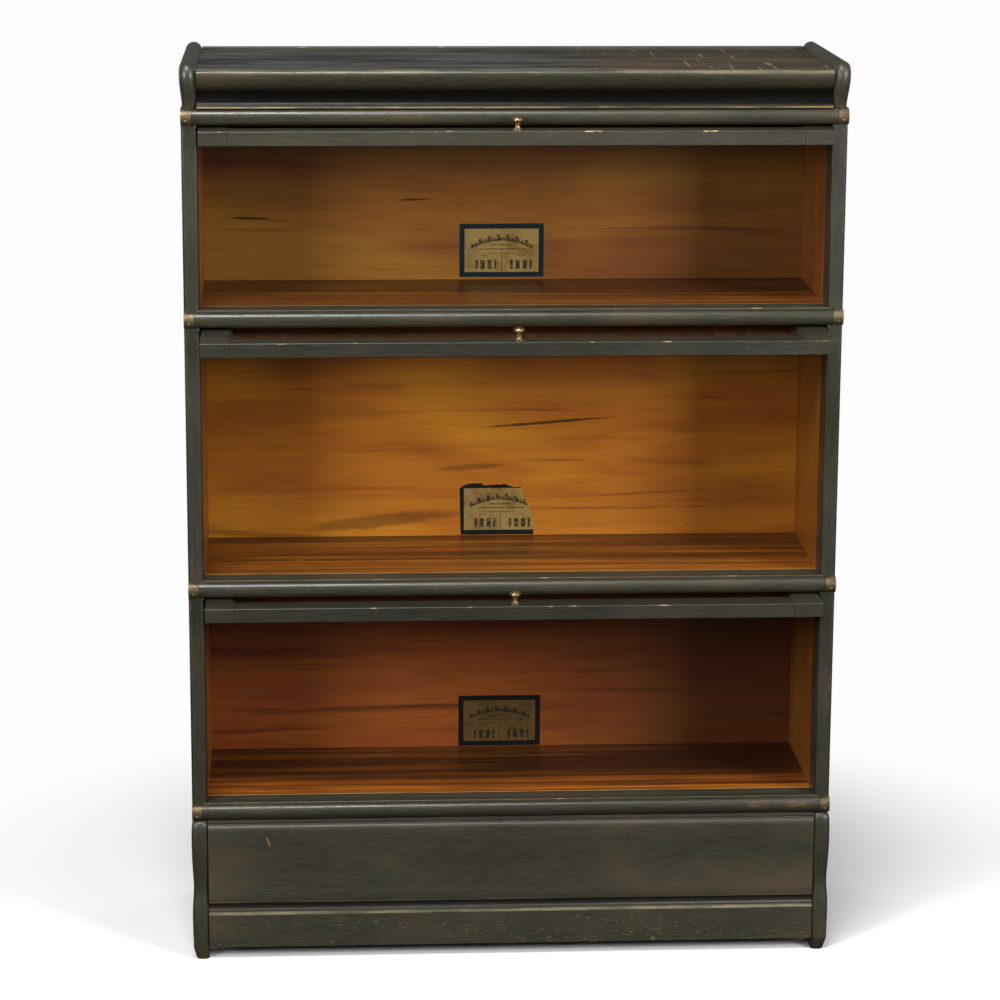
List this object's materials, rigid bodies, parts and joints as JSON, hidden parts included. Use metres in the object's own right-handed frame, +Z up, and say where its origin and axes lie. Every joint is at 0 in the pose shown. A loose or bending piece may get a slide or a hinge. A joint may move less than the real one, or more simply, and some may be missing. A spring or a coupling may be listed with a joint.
{
  "type": "barrister bookcase",
  "caption": "Stacking barrister bookcase in worn ebonised oak, with a moulded cap and base, and glazed doors that slide in flat above the shelves and swing down to close.",
  "frame": {"origin": "middle of the footprint at rest, on the floor: between the outer faces of the ends, and between the front edge of the door that stands out most and the back of the sides", "axes": "+Z up, +X to the right of a person facing the doors, +Y from the front to the back"},
  "size_m": [0.8668, 0.372, 1.215],
  "materials": {
    "ebonised_oak": "worn satin black stain over oak",
    "honey_oak": "glossy amber varnish inside, ebonised outside",
    "band_brass": "worn, dark lacquer rubbed through",
    "knob_brass": "tarnished",
    "runner_steel": "dull",
    "door_glass": "clear"
  },
  "bodies": {
    "case": {"cap_end_left": "ebonised_oak", "cap_end_right": "ebonised_oak", "cap_front_moulding": "ebonised_oak", "cap_top_panel": "ebonised_oak", "cap_back_rail": "ebonised_oak", "front_rail_cap": "ebonised_oak", "band_left_cap": "band_brass", "band_right_cap": "band_brass", "side_left_1": "honey_oak", "side_right_1": "honey_oak", "shelf_1": "honey_oak", "back_panel_1": "honey_oak", "front_rail_1": "ebonised_oak", "band_left_1": "band_brass", "band_right_1": "band_brass", "channel_left_1": "runner_steel", "channel_right_1": "runner_steel", "side_left_2": "honey_oak", "side_right_2": "honey_oak", "shelf_2": "honey_oak", "back_panel_2": "honey_oak", "front_rail_2": "ebonised_oak", "band_left_2": "band_brass", "band_right_2": "band_brass", "channel_left_2": "runner_steel", "channel_right_2": "runner_steel", "side_left_3": "honey_oak", "side_right_3": "honey_oak", "shelf_3": "honey_oak", "back_panel_3": "honey_oak", "front_rail_3": "ebonised_oak", "band_left_3": "band_brass", "band_right_3": "band_brass", "channel_left_3": "runner_steel", "channel_right_3": "runner_steel", "base_end_left": "ebonised_oak", "base_end_right": "ebonised_oak", "base_front": "ebonised_oak", "base_back_rail": "ebonised_oak"},
    "door_1_carriage": {"pivot_rod_1": "runner_steel"},
    "door_1": {"door_stile_left_1": "ebonised_oak", "door_stile_right_1": "ebonised_oak", "door_top_rail_1": "ebonised_oak", "door_bottom_rail_1": "ebonised_oak", "door_glass_1": "door_glass", "door_knob_1": "knob_brass"},
    "door_2_carriage": {"pivot_rod_2": "runner_steel"},
    "door_2": {"door_stile_left_2": "ebonised_oak", "door_stile_right_2": "ebonised_oak", "door_top_rail_2": "ebonised_oak", "door_bottom_rail_2": "ebonised_oak", "door_glass_2": "door_glass", "door_knob_2": "knob_brass"},
    "door_3_carriage": {"pivot_rod_3": "runner_steel"},
    "door_3": {"door_stile_left_3": "ebonised_oak", "door_stile_right_3": "ebonised_oak", "door_top_rail_3": "ebonised_oak", "door_bottom_rail_3": "ebonised_oak", "door_glass_3": "door_glass", "door_knob_3": "knob_brass"}
  },
  "joints": [
    {"name": "door_1_slide", "type": "slide", "parent": "case", "child": "door_1_carriage", "axis": [0, -1, 0], "range_m": [-0.008, 0.1745]},
    {"name": "door_1_swing", "type": "hinge", "parent": "door_1_carriage", "child": "door_1", "pos_m": [0, 0.09625, 1.12025], "axis": [1, 0, 0], "range_deg": [0, 90]},
    {"name": "door_2_slide", "type": "slide", "parent": "case", "child": "door_2_carriage", "axis": [0, -1, 0], "range_m": [-0.002, 0.2175]},
    {"name": "door_2_swing", "type": "hinge", "parent": "door_2_carriage", "child": "door_2", "pos_m": [0, 0.13925, 0.85625], "axis": [1, 0, 0], "range_deg": [0, 90]},
    {"name": "door_3_slide", "type": "slide", "parent": "case", "child": "door_3_carriage", "axis": [0, -1, 0], "range_m": [-0.008, 0.2115]},
    {"name": "door_3_swing", "type": "hinge", "parent": "door_3_carriage", "child": "door_3", "pos_m": [0, 0.13325, 0.49325], "axis": [1, 0, 0], "range_deg": [0, 90]}
  ]
}
